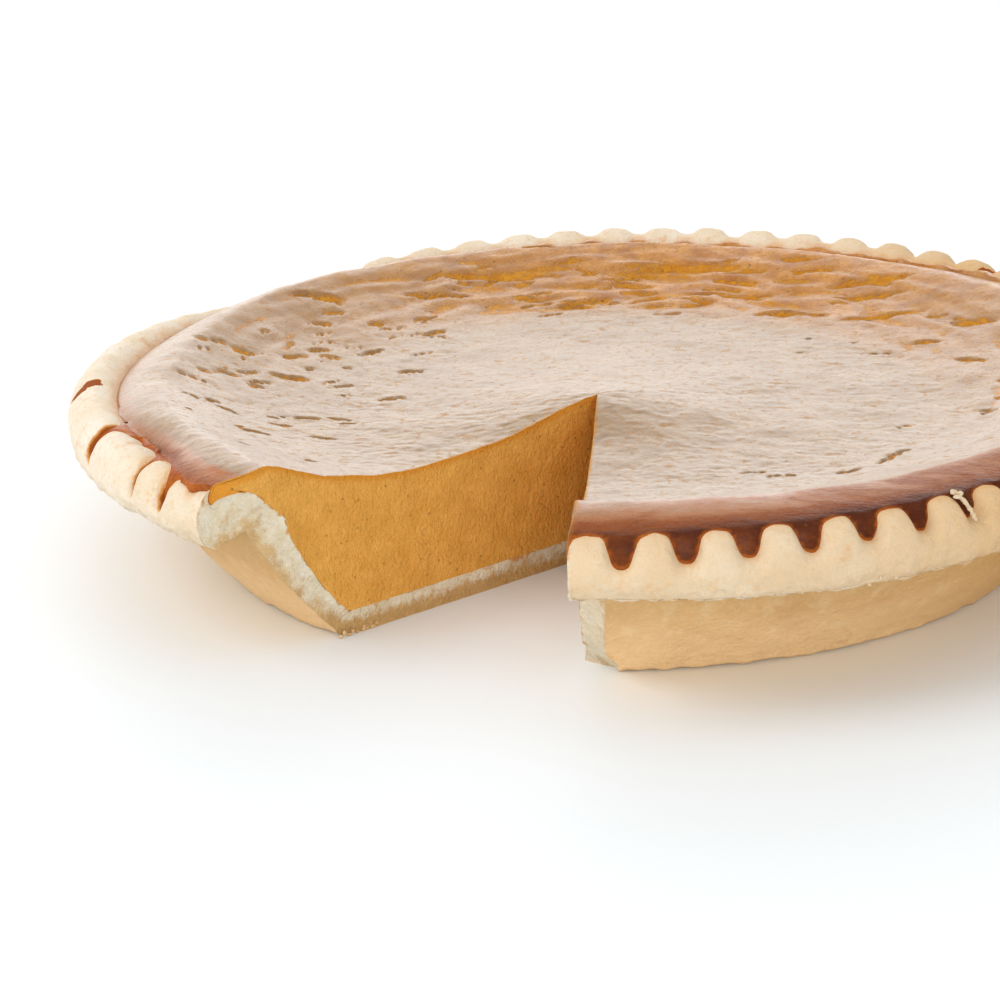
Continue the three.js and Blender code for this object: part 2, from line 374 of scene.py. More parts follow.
# %% [markdown]
# ## Sections
#
# At each azimuth the pie has a section: radius and height of its lines. The
# wall leans out and steepens. The rim is a smooth curve through the points
# above, and a crimp moves those points in and down.

# %% Lines of the wall, the rim and the custard


def wall_outside(height):
    below = max(0.0, 1 - height / FLARE_HEIGHT)
    return BASE_RADIUS + WALL_FLARE * (1 - below ** FLARE_POWER)


def wall_inside(height):
    return wall_outside(height) - lerp(WALL_AT_FOOT, WALL_AT_RIM, height / FLARE_HEIGHT)


def rim_points(azimuth, pinch):
    """The rim section's points as radius and height, pressed in by a crimp."""
    outer, crest, lip = rim_radius_at(azimuth), crest_at(azimuth), lip_at(azimuth)
    creased = 1 + 1.2 * hump(azimuth, 211, 14)
    points = []
    for row, (inset, up, push_in, push_down) in enumerate(RIM_SECTION):
        level = crest if row < FIRST_LIP_ROW else lip
        if row == 2:
            level += 0.8 * hump(azimuth, 228, 7)
        if row in (5, 6):
            push_in, push_down = push_in * creased, push_down * creased
        points.append((outer - inset - push_in * pinch, level + up - push_down * pinch))
    return points


def on_curve(points, share, distance=0.0):
    """A point of the smooth curve through the points, or some distance off it."""
    place = (len(points) - 1) * min(1.0, max(0.0, share))
    index = min(int(place), len(points) - 2)
    part = place - index
    found, slope = [], []
    for axis in (0, 1):
        before = points[max(index - 1, 0)][axis]
        start, end = points[index][axis], points[index + 1][axis]
        after = points[min(index + 2, len(points) - 1)][axis]
        leave, arrive = (end - before) / 2, (after - start) / 2
        cube = 2 * start - 2 * end + leave + arrive
        square = -3 * start + 3 * end - 2 * leave - arrive
        found.append(((cube * part + square) * part + leave) * part + start)
        slope.append((3 * cube * part + 2 * square) * part + leave)
    length = math.hypot(*slope) or 1.0
    return (found[0] - slope[1] / length * distance, found[1] + slope[0] / length * distance)


def custard_surface(azimuth, radius):
    """Height of the custard inside the ring."""
    dome = (CENTRE_HEIGHT - DIP_HEIGHT) * math.exp(-((radius / DOME_RADIUS) ** 2))
    share = max(0.0, (radius - RISE_START) / (ring_radius_at(azimuth) - RISE_START))
    rounded = share ** RISE_POWER * (1 + 1.4 * (1 - share) * share ** 6)
    return DIP_HEIGHT + dome + rounded * (ring_height_at(azimuth) - DIP_HEIGHT)


CORNER_RADIUS = wall_inside(BASE_THICKNESS) - 1
print("corner radius", round(CORNER_RADIUS, 2))

# %% [markdown]
# ## From a section to space
#
# The two cuts don't run to the pie's axis but to a tip beside it. Near a cut
# the lines are turned a little so that they end on it, and inside the
# straight radius all lines run to the tip. The rim is broken back beside the
# cuts, so each point also says how far it stands back there, in degrees. The
# crimps at the front right lean, as their tops are turned and their ends not.

# %% Place a point


def azimuth_on_cut(direction, radius):
    """Azimuth at which a cut reaches this radius."""
    along = Vector((math.cos(math.radians(direction)), math.sin(math.radians(direction))))
    towards = TIP.dot(along)
    distance = -towards + math.sqrt(towards ** 2 - TIP.length_squared + radius ** 2)
    point = TIP + along * distance
    return math.degrees(math.atan2(point.y, point.x))


FIRST_AZIMUTH = azimuth_on_cut(RIGHT_CUT, RIM_RADIUS)
LAST_AZIMUTH = azimuth_on_cut(LEFT_CUT, RIM_RADIUS) + 360
SOUND = (0.0, 0.0)


def rim_break(share):
    """Degrees that the rim stands back at both cuts, at a share of its section."""
    return lerp_all(SOUND, RIM_BROKEN, smoothstep(share, *BREAK_PART))


def place_point(azimuth, radius, height, broken):
    """Turns a point of a section to its real place between the cuts."""
    reach = max(radius, STRAIGHT_RADIUS)
    near_right = azimuth - FIRST_AZIMUTH
    near_left = LAST_AZIMUTH - azimuth
    leaning = hump(azimuth, *LEANING) * smoothstep(radius, 85, 104) * smoothstep(radius, 122, 107)
    turned = azimuth - LEAN * leaning
    if near_right < 6 * CUT_BLEND:
        shift = azimuth_on_cut(RIGHT_CUT, reach) - FIRST_AZIMUTH
        turned += shift * math.exp(-near_right / CUT_BLEND)
        turned += broken[0] * math.exp(-near_right / BREAK_BLEND)
    if near_left < 6 * CUT_BLEND:
        shift = azimuth_on_cut(LEFT_CUT, reach) + 360 - LAST_AZIMUTH
        turned += shift * math.exp(-near_left / CUT_BLEND)
        turned -= broken[1] * math.exp(-near_left / BREAK_BLEND)
    angle = math.radians(turned)
    outer = Vector((math.cos(angle), math.sin(angle))) * reach
    point = TIP.lerp(outer, min(1.0, radius / STRAIGHT_RADIUS))
    return Vector((point.x, point.y, height))


SWEEP = LAST_AZIMUTH - FIRST_AZIMUTH


def make_turn_table(samples=1500):
    """Share of the columns up to each of some azimuths: they are closer at the front."""
    total, table = 0.0, [0.0]
    for index in range(samples):
        azimuth = FIRST_AZIMUTH + SWEEP * (index + 0.5) / samples
        total += 1 + 1.2 * hump(azimuth, 212, 18) + 0.9 * hump(azimuth, -74, 30)
        table.append(total)
    return [value / total for value in table]


TURN_TABLE = make_turn_table()


def azimuth_of(share):
    """Azimuth of a column that stands at this share of all columns."""
    index = min(bisect.bisect_right(TURN_TABLE, share), len(TURN_TABLE) - 1)
    low, high = TURN_TABLE[index - 1], TURN_TABLE[index]
    turn = (index - 1 + (share - low) / (high - low)) / (len(TURN_TABLE) - 1)
    return FIRST_AZIMUTH + SWEEP * turn


print("the pie fills", round(SWEEP, 1), "degrees")

# %% [markdown]
# ## A strip to bend round
#
# Each piece starts as a flat grid with a cell for each step along the section
# and from its lower to its upper line. Extruding the grid gives a straight
# bar, whose ends are the grid's own cells and become the cut faces. The bar's
# long edges are then subdivided into columns. Spin could sweep the grid
# round directly, but it slows down with every step. Each vertex keeps its
# step along, its step across and its column as whole numbers, from which it
# is moved to its real place. Where the mesh is out of sight or nearly flat,
# some of its columns are dissolved again.

# %% Make, thin, place and close a strip


def swept_strip(steps_along, steps_across, columns):
    mesh = bmesh.new()
    along, across, column = (mesh.verts.layers.int.new(n) for n in ("along", "across", "column"))
    bmesh.ops.create_grid(mesh, x_segments=steps_along, y_segments=steps_across, size=0.5)
    made = bmesh.ops.extrude_face_region(mesh, geom=mesh.faces[:])
    far_end = [item for item in made["geom"] if isinstance(item, bmesh.types.BMVert)]
    bmesh.ops.translate(mesh, verts=far_end, vec=(0, 0, 1))
    long_edges = [edge for edge in mesh.edges if abs(edge.verts[0].co.z - edge.verts[1].co.z) > 0.5]
    bmesh.ops.subdivide_edges(mesh, edges=long_edges, cuts=columns - 1, use_grid_fill=True)
    for vert in mesh.verts:
        vert[along] = round((vert.co.x + 0.5) * steps_along)
        vert[across] = round((vert.co.y + 0.5) * steps_across)
        vert[column] = round(vert.co.z * columns)
    return mesh, (along, across, column)


def thin_columns(mesh, layers, keep_every, columns, hidden):
    """Dissolves the columns between every few, where hidden(along, across) holds."""
    along, across, column = layers
    spare = []
    for edge in mesh.edges:
        one, two = edge.verts
        place = one[column]
        if place != two[column] or place % keep_every == 0 or place == columns:
            continue
        if hidden(one[along], one[across]) and hidden(two[along], two[across]):
            spare.append(edge)
    bmesh.ops.dissolve_edges(mesh, edges=spare, use_verts=True)


def cap_outline(mesh, layers, last):
    """Edges round both cut faces. last is the last step along, across and column."""
    along, across, column = layers
    found = []
    for edge in mesh.edges:
        one, two = edge.verts
        if one[column] != two[column] or one[column] not in (0, last[2]):
            continue
        on_line = one[across] == two[across] and one[across] in (0, last[1])
        on_end = one[along] == two[along] and one[along] in (0, last[0])
        if on_line or on_end:
            found.append(edge)
    return found


def placed_verts(mesh, layers, last, lines_at):
    """Moves each vertex to its real place, and yields it with where that is.

    lines_at(azimuth) gives the section's two lines, and share runs from the
    first to the second. Also given are the step along, the azimuth, the
    height, and the radius and height of the second line's point.
    """
    along, across, column = layers
    sections = {}
    for vert in mesh.verts:
        place = vert[column]
        if place not in sections:
            azimuth = azimuth_of(place / last[2])
            sections[place] = (azimuth, *lines_at(azimuth))
        azimuth, first, second = sections[place]
        step, share = vert[along], vert[across] / last[1]
        low, high = first[step], second[step]
        radius, height = lerp_all(low[:2], high[:2], share)
        vert.co = place_point(azimuth, radius, height, lerp_all(low[2], high[2], share))
        yield vert, step, share, azimuth, height, high[:2]


def finished_piece(name, mesh, cap_edges=()):
    """Merges points that met, turns the faces outwards and keeps the cuts' edges sharp."""
    for face in mesh.faces:
        face.smooth = True
    for edge in cap_edges:
        if edge.is_valid:
            edge.smooth = False
    bmesh.ops.remove_doubles(mesh, verts=mesh.verts[:], dist=0.002)
    bmesh.ops.dissolve_degenerate(mesh, edges=mesh.edges[:], dist=0.001)
    bmesh.ops.recalc_face_normals(mesh, faces=mesh.faces[:])
    mesh.normal_update()
    mesh.transform(Matrix.Scale(MM, 4))
    print(name, "has", sum(len(face.verts) - 2 for face in mesh.faces), "triangles")
    return mesh_object(name, mesh)


def float_layers(mesh, names):
    """Named values on the vertices, which the materials read."""
    return [mesh.verts.layers.float.new(name) for name in names]


def ripple(point, size, detail=0.0):
    """Smooth noise from -1 to 1 with waves of about this size, in millimetres."""
    return noise.noise(Vector((point.x / size, point.y / size, point.z / size + detail)))


def ripples(point, table):
    """Sum of ripples, each given by its strength and size."""
    return sum(strength * ripple(point, size) for strength, size in table)

# %% [markdown]
# ## Pastry case
#
# The case has a flat base, a leaning wall and a thick rim that hangs over.
# Its outer line runs along the underside and up the wall to the lip, its
# inner line over the base, up inside the custard and over the crest. They
# meet under the rim's outer edge.

# %% Lines of the case at one azimuth
BASE_STEPS = 22
WALL_STEPS = 26
RIM_STEPS = 48
MEET = 0.76
FOOT_BREAK_DEPTH = 3.2
FOOT_BROKEN = (4.6, 0.6)
WALL_BROKEN = (2.9, 0.8)
LIP_BROKEN = (1.6, 2.4)


def inner_wall_point(azimuth, part, start):
    """A point inside the wall: 0 at the base, 1 where the rim section starts."""
    height = lerp(BASE_THICKNESS, start[1], part)
    miss = start[0] - wall_inside(start[1])
    corner = max(0.0, 1 - 8 * part)
    return (wall_inside(height) + miss * part ** 3 - corner, height)


def crust_lines(azimuth):
    """Outer and inner line as lists of radius, height and break."""
    points = rim_points(azimuth, pinch_at(azimuth))
    start, end = on_curve(points, 0), on_curve(points, 1)
    outer, inner = [], []
    for step in range(BASE_STEPS + 1):
        radius = FOOT_RADIUS * step / BASE_STEPS
        part = smoothstep(radius, FOOT_RADIUS - FOOT_BREAK_DEPTH, FOOT_RADIUS)
        outer.append((radius, 0.0, lerp_all(SOUND, FOOT_BROKEN, part)))
        inner.append((CORNER_RADIUS * step / BASE_STEPS, BASE_THICKNESS, SOUND))
    for step in range(1, WALL_STEPS + 1):
        part = step / WALL_STEPS
        height = end[1] * part ** 1.25
        radius = wall_outside(height) + (end[0] - wall_outside(end[1])) * part ** 4
        if height < FOOT_HEIGHT:
            round_part = math.sqrt(1 - (1 - height / FOOT_HEIGHT) ** 2)
            radius = lerp(FOOT_RADIUS, wall_outside(FOOT_HEIGHT), round_part)
        blend = smoothstep(height, FOOT_HEIGHT, 7)
        broken = lerp_all(FOOT_BROKEN, WALL_BROKEN, blend)
        outer.append((radius, height, lerp_all(broken, LIP_BROKEN, smoothstep(part, 0.8, 1))))
        inner.append((*inner_wall_point(azimuth, part, start), SOUND))
    for step in range(1, RIM_STEPS + 1):
        part = step / RIM_STEPS
        low, high = on_curve(points, lerp(1, MEET, part)), on_curve(points, MEET * part)
        outer.append((*low, lerp_all(LIP_BROKEN, rim_break(1), part)))
        inner.append((*high, rim_break(MEET * part)))
    return outer, inner


print("the case has", BASE_STEPS + WALL_STEPS + RIM_STEPS, "steps along its section")

# %% [markdown]
# The case's surface is then made uneven along its normals. Shortcrust is
# smooth but lumpy outside, crumbly at the lip's lower edge, and rough where
# it was cut. Values kept on the vertices tell the material where it is cut,
# where it is golden, where custard has soaked in or dripped on it, and how
# near it is to the custard's side, which leaves smears on the cut.

# %% How uneven and how golden the case is
CRUST_ALONG = BASE_STEPS + WALL_STEPS + RIM_STEPS
CRUST_ACROSS = 8
CRUST_COLUMNS = 870
WALL_END = BASE_STEPS + WALL_STEPS
COVERED = WALL_END + 4       # the custard hides the inner line up to this step
PASTRY_VALUES = ("cut", "golden", "soak", "drip", "skin")
# Azimuth, radius, half length and half width, in millimetres, and turn of the drips on the rim
DRIPS = [(184.2, 119.2, 4.8, 3.1, 60), (40.5, 115.5, 3.2, 2.2, 30)]
LOWEST_DRIP = 32
# Strength and size of the ripples, in millimetres
LUMPS = [(0.30, 9), (0.17, 2.6)]
RAGGED_LIP = [(0.6, 3.2), (0.5, 1.4)]
WORN_FOOT = [(0.25, 2.5)]
TORN_CRUMB = [(0.6, 5), (0.5, 1.9)]


def drip_at(point):
    """How much a spot of spilt custard covers the pastry here."""
    most = 0.0
    if point.z < LOWEST_DRIP:
        return most
    for azimuth, radius, half_length, half_width, turn in DRIPS:
        angle = math.radians(azimuth)
        offset = point.xy - Vector((math.cos(angle), math.sin(angle))) * radius
        offset.rotate(Matrix.Rotation(-math.radians(turn), 2))
        far = (offset.x / half_length) ** 2 + (offset.y / half_width) ** 2
        most = max(most, smoothstep(1.15 - far + 0.5 * ripple(point, 1.5), 0, 0.6))
    return most


def soak_and_drip(point, azimuth, rim_share):
    """How far custard has soaked in along its edge, and how much drips and stains cover."""
    nearest, away = crimp_at(azimuth)
    edge = lerp(tongue_at(azimuth), arch_at(azimuth), smoothstep(away, 0.1, 0.3))
    stain, width = STAINS.get(nearest, (0, 1))
    crease = stain * math.exp(-((away / width) ** 2)) * smoothstep(rim_share, 0.66, 0.42)
    return math.exp(-(((rim_share - edge) / 0.05) ** 2)), max(drip_at(point), crease)


def golden_at(step, share, azimuth, place):
    """How golden the pastry is: 0 as pale as the rim, 1 as golden as the wall."""
    if place == CRUST_COLUMNS and step <= BASE_STEPS + 5:
        return 1 - share
    # The right cut face gets less gold than the left: painted light, as it faces the light from the
    # left
    if place in (0, CRUST_COLUMNS):
        return (1 - share) * (0.55 if place else 0.35)
    if share == 0:
        return 1 - 0.9 * smoothstep(step, WALL_END + 8, WALL_END + 0.6 * RIM_STEPS)
    return 0.3 * hump(azimuth, -65, 65) if step > WALL_END else 0.0


def outside_shares(step, share, height):
    """How much the outside has of the lumps, the wall's waves, the ragged lip and the foot."""
    if share == 0:
        ragged = smoothstep(step, WALL_END + 0.3 * RIM_STEPS, CRUST_ALONG)
        foot = smoothstep(height, 3.5, 0.5) if step >= BASE_STEPS else 0.0
        return step > BASE_STEPS, BASE_STEPS < step <= WALL_END, ragged, foot
    if share == 1:
        rim_share = MEET * (step - WALL_END) / RIM_STEPS
        return step > COVERED, False, smoothstep(abs(rim_share - 0.70), 0.12, 0.0), 0.0
    return False, False, 0.0, 0.0


def crust_move(point, torn, lumpy, wavy, ragged, foot):
    """How far a point of the case moves along its normal, in millimetres."""
    move = ripples(point, LUMPS) if lumpy or torn else 0.0
    if wavy:
        turn = math.atan2(point.y, point.x) * 100
        move += 0.28 * noise.noise(Vector((turn / 7, point.z / 40, 3)))
    move += ragged * (ripples(point, RAGGED_LIP) - 0.1)
    move += foot * (ripples(point, WORN_FOOT) - 0.1)
    return move + torn * (ripples(point, TORN_CRUMB) + 0.2)


print("the case has", CRUST_ALONG, "steps along its section and", CRUST_COLUMNS, "columns")

# %% Build the case


def crust_out_of_sight(step, line):
    return (line == CRUST_ACROSS and step <= COVERED) or (line == 0 and step <= BASE_STEPS)


def crust_at_the_back(step, line):
    return line == 0 and step >= BASE_STEPS


def build_crust():
    last = (CRUST_ALONG, CRUST_ACROSS, CRUST_COLUMNS)
    mesh, layers = swept_strip(*last)
    along, across, column = layers
    thin_columns(mesh, layers, 10, CRUST_COLUMNS, crust_out_of_sight)
    thin_columns(mesh, layers, 2, CRUST_COLUMNS, crust_at_the_back)
    cap_edges = cap_outline(mesh, layers, last)
    cut, golden, soak, drip, skin = float_layers(mesh, PASTRY_VALUES)
    rough = {}
    for vert, step, share, azimuth, height, _ in placed_verts(mesh, layers, last, crust_lines):
        place, torn = vert[column], 0.0
        if place in (0, CRUST_COLUMNS):
            vert[cut] = 1.0 if place else 0.7
            inward = min(4 * share, 4 * (1 - share), step / 3, (CRUST_ALONG - step) / 3, 1)
            torn = lerp(0.25, 1, inward)
        vert[skin] = share
        vert[golden] = golden_at(step, share, azimuth, place)
        if share == 1 and step > WALL_END:
            rim_share = MEET * (step - WALL_END) / RIM_STEPS
            vert[soak], vert[drip] = soak_and_drip(vert.co, azimuth, rim_share)
        rough[vert] = (torn, *outside_shares(step, share, height))
    mesh.normal_update()
    for vert in mesh.verts:
        vert.co += vert.normal * crust_move(vert.co, *rough[vert])
        radius = vert.co.xy.length
        vert.co.xy *= 1 - RIM_INSET * smoothstep(radius, 110, 122) / max(radius, 1)
        if vert.co.z < 0 or (vert[across] == 0 and vert[along] <= BASE_STEPS):
            vert.co.z = 0.0
    return finished_piece("pie_crust", mesh, cap_edges)


crust = build_crust()

# %% [markdown]
# ## Custard
#
# The custard fills the case. Its skin is nearly flat in the middle, climbs to
# a ring, and runs out over the crest as a thin film that lies in the crimps,
# where it ends in tongues, rounded or pointed. The film is one even surface,
# and the ridges of the pastry rise through it, which gives the arches their
# shape.

# %% Lines of the custard at one azimuth
TOP_STEPS = 130
FILM_STEPS = 24
ARCH_PART = 0.42
FILM_THICKNESS = 1.6
SINK = -0.35


def film_point(azimuth, part, ridge, groove):
    """A point of the film: 0 on the ring, 1 at the end of the tongue."""
    arch, tongue = arch_at(azimuth), tongue_at(azimuth)
    if part < ARCH_PART:
        share = part / ARCH_PART
        edge = on_curve(ridge, arch, 0.3)
        top = ring_height_at(azimuth)
        radius = lerp(ring_radius_at(azimuth), edge[0], share)
        return (radius, top - (top - edge[1]) * share ** 2, rim_break(arch * share))
    share = (part - ARCH_PART) / (1 - ARCH_PART)
    place = lerp(arch, tongue, share)
    over_ridge = on_curve(ridge, place, 0.3 - 0.5 * share)
    thick = FILM_THICKNESS * lerp(1, 0.25, smoothstep(hump(azimuth, 166, 30), 0.1, 0.7))
    depth = thick * math.sqrt(max(0.0, 1 - share ** 2)) + SINK * share
    in_groove = on_curve(groove, place, depth)
    return (*lerp_all(over_ridge, in_groove, smoothstep(share, 0, 0.55)), rim_break(place))


def film_part(film):
    """Share of the film's width at a share of its steps, which are closer at its end."""
    return 1 - (1 - film) ** 1.25


def film_cover(azimuth, film, radius, height):
    """Depth of the film over the pastry under a point of its surface."""
    along = max(0.0, (film_part(film) - ARCH_PART) / (1 - ARCH_PART))
    place = lerp(arch_at(azimuth), tongue_at(azimuth), along)
    pastry_line = rim_points(azimuth, pinch_at(azimuth))
    under, above = on_curve(pastry_line, place), on_curve(pastry_line, place, 1)
    return (radius - under[0]) * (above[0] - under[0]) + (height - under[1]) * (above[1] - under[1])


def custard_lines(azimuth):
    """Lower and upper line as lists of radius, height and break."""
    nearest, _ = crimp_at(azimuth)
    ridge = rim_points(azimuth, 0)
    groove = rim_points(azimuth, crimp_depth(nearest))
    start = on_curve(rim_points(azimuth, pinch_at(azimuth)), 0)
    ring = ring_radius_at(azimuth)
    lower, upper = [], []
    for step in range(TOP_STEPS + 1):
        radius = ring * step / TOP_STEPS
        upper.append((radius, custard_surface(azimuth, radius), SOUND))
        if radius <= CORNER_RADIUS:
            lower.append((radius, BASE_THICKNESS, SOUND))
        else:
            part = (radius - CORNER_RADIUS) / (ring - CORNER_RADIUS)
            lower.append((*inner_wall_point(azimuth, part, start), SOUND))
    for step in range(1, FILM_STEPS + 1):
        part = film_part(step / FILM_STEPS)
        upper.append(film_point(azimuth, part, ridge, groove))
        share = tongue_at(azimuth) * part
        lower.append((*on_curve(groove, share, SINK * min(1.0, part * 4)), rim_break(share)))
    return lower, upper


print("the custard has", TOP_STEPS + FILM_STEPS, "steps along its section")

# %% [markdown]
# The skin tore and wrinkled as the custard rose and sank again: long folds
# and open tears on the slope of the ring, small ones towards the middle. The
# large tears are placed one by one, the small ones are scattered.

# %% Tears in the skin
# x, y, half length, half width, turn in degrees
LARGE_TEARS = [
    (14, 93, 11.0, 2.2, 0), (60, 76, 11.0, 2.0, -4), (59, 68.5, 9.0, 1.6, 0),
    (30, 75, 7.0, 1.6, 4), (-8, 73, 9.1, 1.5, 0), (8, 70, 2.6, 0.8, 0),
    (-32, 88, 12.0, 2.2, 6), (-44, 75, 9.5, 1.6, 4), (-72, 64, 7.0, 1.8, 12),
    (-58, 54, 2.9, 1.3, 0), (40, 60, 9.9, 1.6, -8), (61, 55, 11.0, 1.8, 3),
    (82, 43, 6.5, 2.6, -25), (70, 34, 4.0, 1.2, 0), (79, 18, 4.4, 1.8, -30),
    (-94, 25, 3.6, 1.2, 10), (-87, 24, 3.0, 1.5, -20), (-77, 34, 4.0, 1.2, 75),
    (-75, 27, 3.4, 1.7, 25), (-70, 33, 3.2, 1.6, 15), (-58, 34, 4.0, 1.9, 35),
    (-89, 7, 3.7, 1.1, 0), (-75, 11, 5.2, 1.7, -6), (-82, 2, 2.4, 1.2, -5),
    (-88, 2, 1.8, 0.9, 0), (-69, -18, 3.4, 0.9, 0), (-60, -21, 2.2, 0.9, 0),
    (-82, -33, 3.2, 1.0, -50), (-90, -16, 1.6, 1.4, 0), (-51, -3, 3.8, 1.1, 5),
    (-44, 49, 3.6, 1.6, 30), (-71, 50, 3.5, 1.1, 0), (-21, 104, 6.0, 1.1, 5),
    (44, 92, 5.0, 1.1, -8), (0, 88, 6.1, 1.2, 0), (-22, 76, 6.0, 1.0, 3),
    (57, -51, 8.6, 1.2, 55), (47, -60, 4.0, 0.8, 25), (33, -62, 4.2, 0.7, 8),
]
random.seed(11)


def scattered_tears(count):
    """Small tears, more of them at the back and the left, along the ring."""
    tears = []
    while len(tears) < count:
        radius = 100 * math.sqrt(random.random())
        azimuth = random.uniform(FIRST_AZIMUTH + 6, LAST_AZIMUTH - 6)
        slope = smoothstep(radius, 40, 92)
        side = 0.12 + 0.9 * hump(azimuth, 80, 45) + 0.9 * hump(azimuth, 165, 32)
        if random.random() > slope * side:
            continue
        angle = math.radians(azimuth)
        half_length = random.uniform(1.2, 3.8) * (1 + 0.8 * hump(azimuth, 75, 50) * slope)
        turn = random.gauss(0, 14) + 0.35 * ((azimuth - 90 + 90) % 180 - 90)
        tears.append((radius * math.cos(angle), radius * math.sin(angle), half_length,
                      half_length * random.uniform(0.12, 0.26), turn))
    return tears


TEARS = LARGE_TEARS + scattered_tears(120)
print(len(TEARS), "tears")

# %% [markdown]
# Folds and wrinkles are waves of noise, long ones on the slope of the ring and
# fine ones all over. A tear is a spindle whose outline the noise frays. Where
# the skin is torn, or lies deep in a fold, the material shows the custard
# under it.

# %% Relief of the skin
# Strength, size along x, size along y in millimetres, and layer of the fine wrinkles
WRINKLES = [(0.12, 3.0, 1.8, 2), (0.10, 1.7, 1.4, 7)]
SWELLS = [(0.42, 17), (0.16, 5)]


def plane_noise(x, y, x_size, y_size, layer):
    return noise.noise(Vector((x / x_size, y / y_size, layer)))


def skin_relief(point, azimuth, radius):
    """Height of the folds and wrinkles of the skin, and of the folds alone."""
    slope = smoothstep(radius, 62, 80) * (1 - smoothstep(radius, 99, 105))
    wobble = 3.0 * ripple(point, 20, 5)
    fold = plane_noise(radius + wobble, math.radians(azimuth) * 100, 4.2, 17, 1)
    fold *= slope * (0.25 + hump(azimuth, 82, 62))
    height = 0.85 * fold + ripples(point, SWELLS)
    for strength, x_size, y_size, layer in WRINKLES:
        height += strength * plane_noise(point.x, point.y, x_size, y_size, layer)
    return height, fold


def tear_the_skin(surface):
    """Sinks the tears into the surface's vertices and says how open each vertex is."""
    tree = kdtree.KDTree(len(surface))
    for place, vert in enumerate(surface):
        tree.insert(Vector((vert.co.x, vert.co.y, 0)), place)
    tree.balance()
    opened = {}
    for number, (x, y, half_length, half_width, turn) in enumerate(TEARS):
        half_width *= lerp(0.62, 0.85, smoothstep(y, 45, 70))
        depth = min(1.5, 0.55 + 0.45 * half_width * (0.7 + 0.6 * scatter(number, 5)))
        along_x, along_y = math.cos(math.radians(turn)), math.sin(math.radians(turn))
        for _, place, _ in tree.find_range(Vector((x, y, 0)), half_length * 1.3 + 1):
            vert = surface[place]
            at_x, at_y = vert.co.xy
            dx = at_x - x + 0.8 * plane_noise(at_x, at_y, 2.0, 2.0, number)
            dy = at_y - y + 1.1 * plane_noise(at_x, at_y, 4.5, 4.5, number + 9)
            dy += 0.5 * plane_noise(at_x, at_y, 1.6, 1.6, number + 4)
            along, across = dx * along_x + dy * along_y, dy * along_x - dx * along_y
            inside = 1 - (along / half_length) ** 2 - (across / half_width) ** 2
            open_here = smoothstep(inside, -0.15, 0.5)
            if open_here > 0:
                vert.co.z -= depth * smoothstep(inside, -0.1, 0.9)
                opened[vert] = max(opened.get(vert, 0.0), open_here)
    return opened


print("relief at the back", [round(skin_relief(Vector((0, y, 38)), 90, y)[0], 2)
                             for y in (75, 80, 85, 90)], "mm")

# %% [markdown]
# Values kept on the vertices tell the material how browned the skin is, where
# it is torn or thin, where the film looks like fresh custard, where the
# custard is cut, and how deep under the skin a point of the cut lies.

# %% Build the custard
CUSTARD_ALONG = TOP_STEPS + FILM_STEPS
CUSTARD_ACROSS = 34
CUSTARD_COLUMNS = 560
CUSTARD_VALUES = ("cut", "tear", "toast", "depth", "thin", "ooze")
# Height, centre and width of the humps of browning over the azimuth
TOAST_HUMPS = [(0.13, 182, 32), (0.9, -70, 52), (0.42, 215, 12)]
CUT_LUMPS = [(0.35, 8), (0.10, 2.2)]


def toast_at(azimuth, radius, film):
    """How far the skin has browned: most on the film at the front and the right."""
    ring = ring_radius_at(azimuth)
    inside = smoothstep(radius, ring - 9, ring + 2)
    strength = min(1.0, 0.07 + humps(azimuth, TOAST_HUMPS))
    left = hump(azimuth, 206, 34)
    at_ring = strength * inside * (lerp(0.28, 0.10, left) + 0.3 * hump(azimuth, -45, 20))
    on_film = strength * smoothstep(film, 0.10, 0.40)
    return max(at_ring, at_ring * 0.5 + on_film * lerp(0.8, 1.0, left))


def ooze_at(azimuth, film, radius, height):
    """How fresh the film looks: at the left, and all along its thin edge."""
    ooze = smoothstep(film, 0.30, 0.43) * smoothstep(hump(azimuth, 212, 13), 0.1, 0.5)
    if film > 0.2:
        thin_edge = smoothstep(film_cover(azimuth, film, radius, height), 0.42, 0.05)
        ooze = max(ooze, 0.75 * thin_edge)
    return ooze


def roughen_cut(vert, step):
    """Moves a vertex inside a cut face along its normal."""
    move = ripples(vert.co, CUT_LUMPS) - 0.35 * smoothstep(step, TOP_STEPS - 14, TOP_STEPS)
    vert.co += vert.normal * move * smoothstep(step, 0, 12)


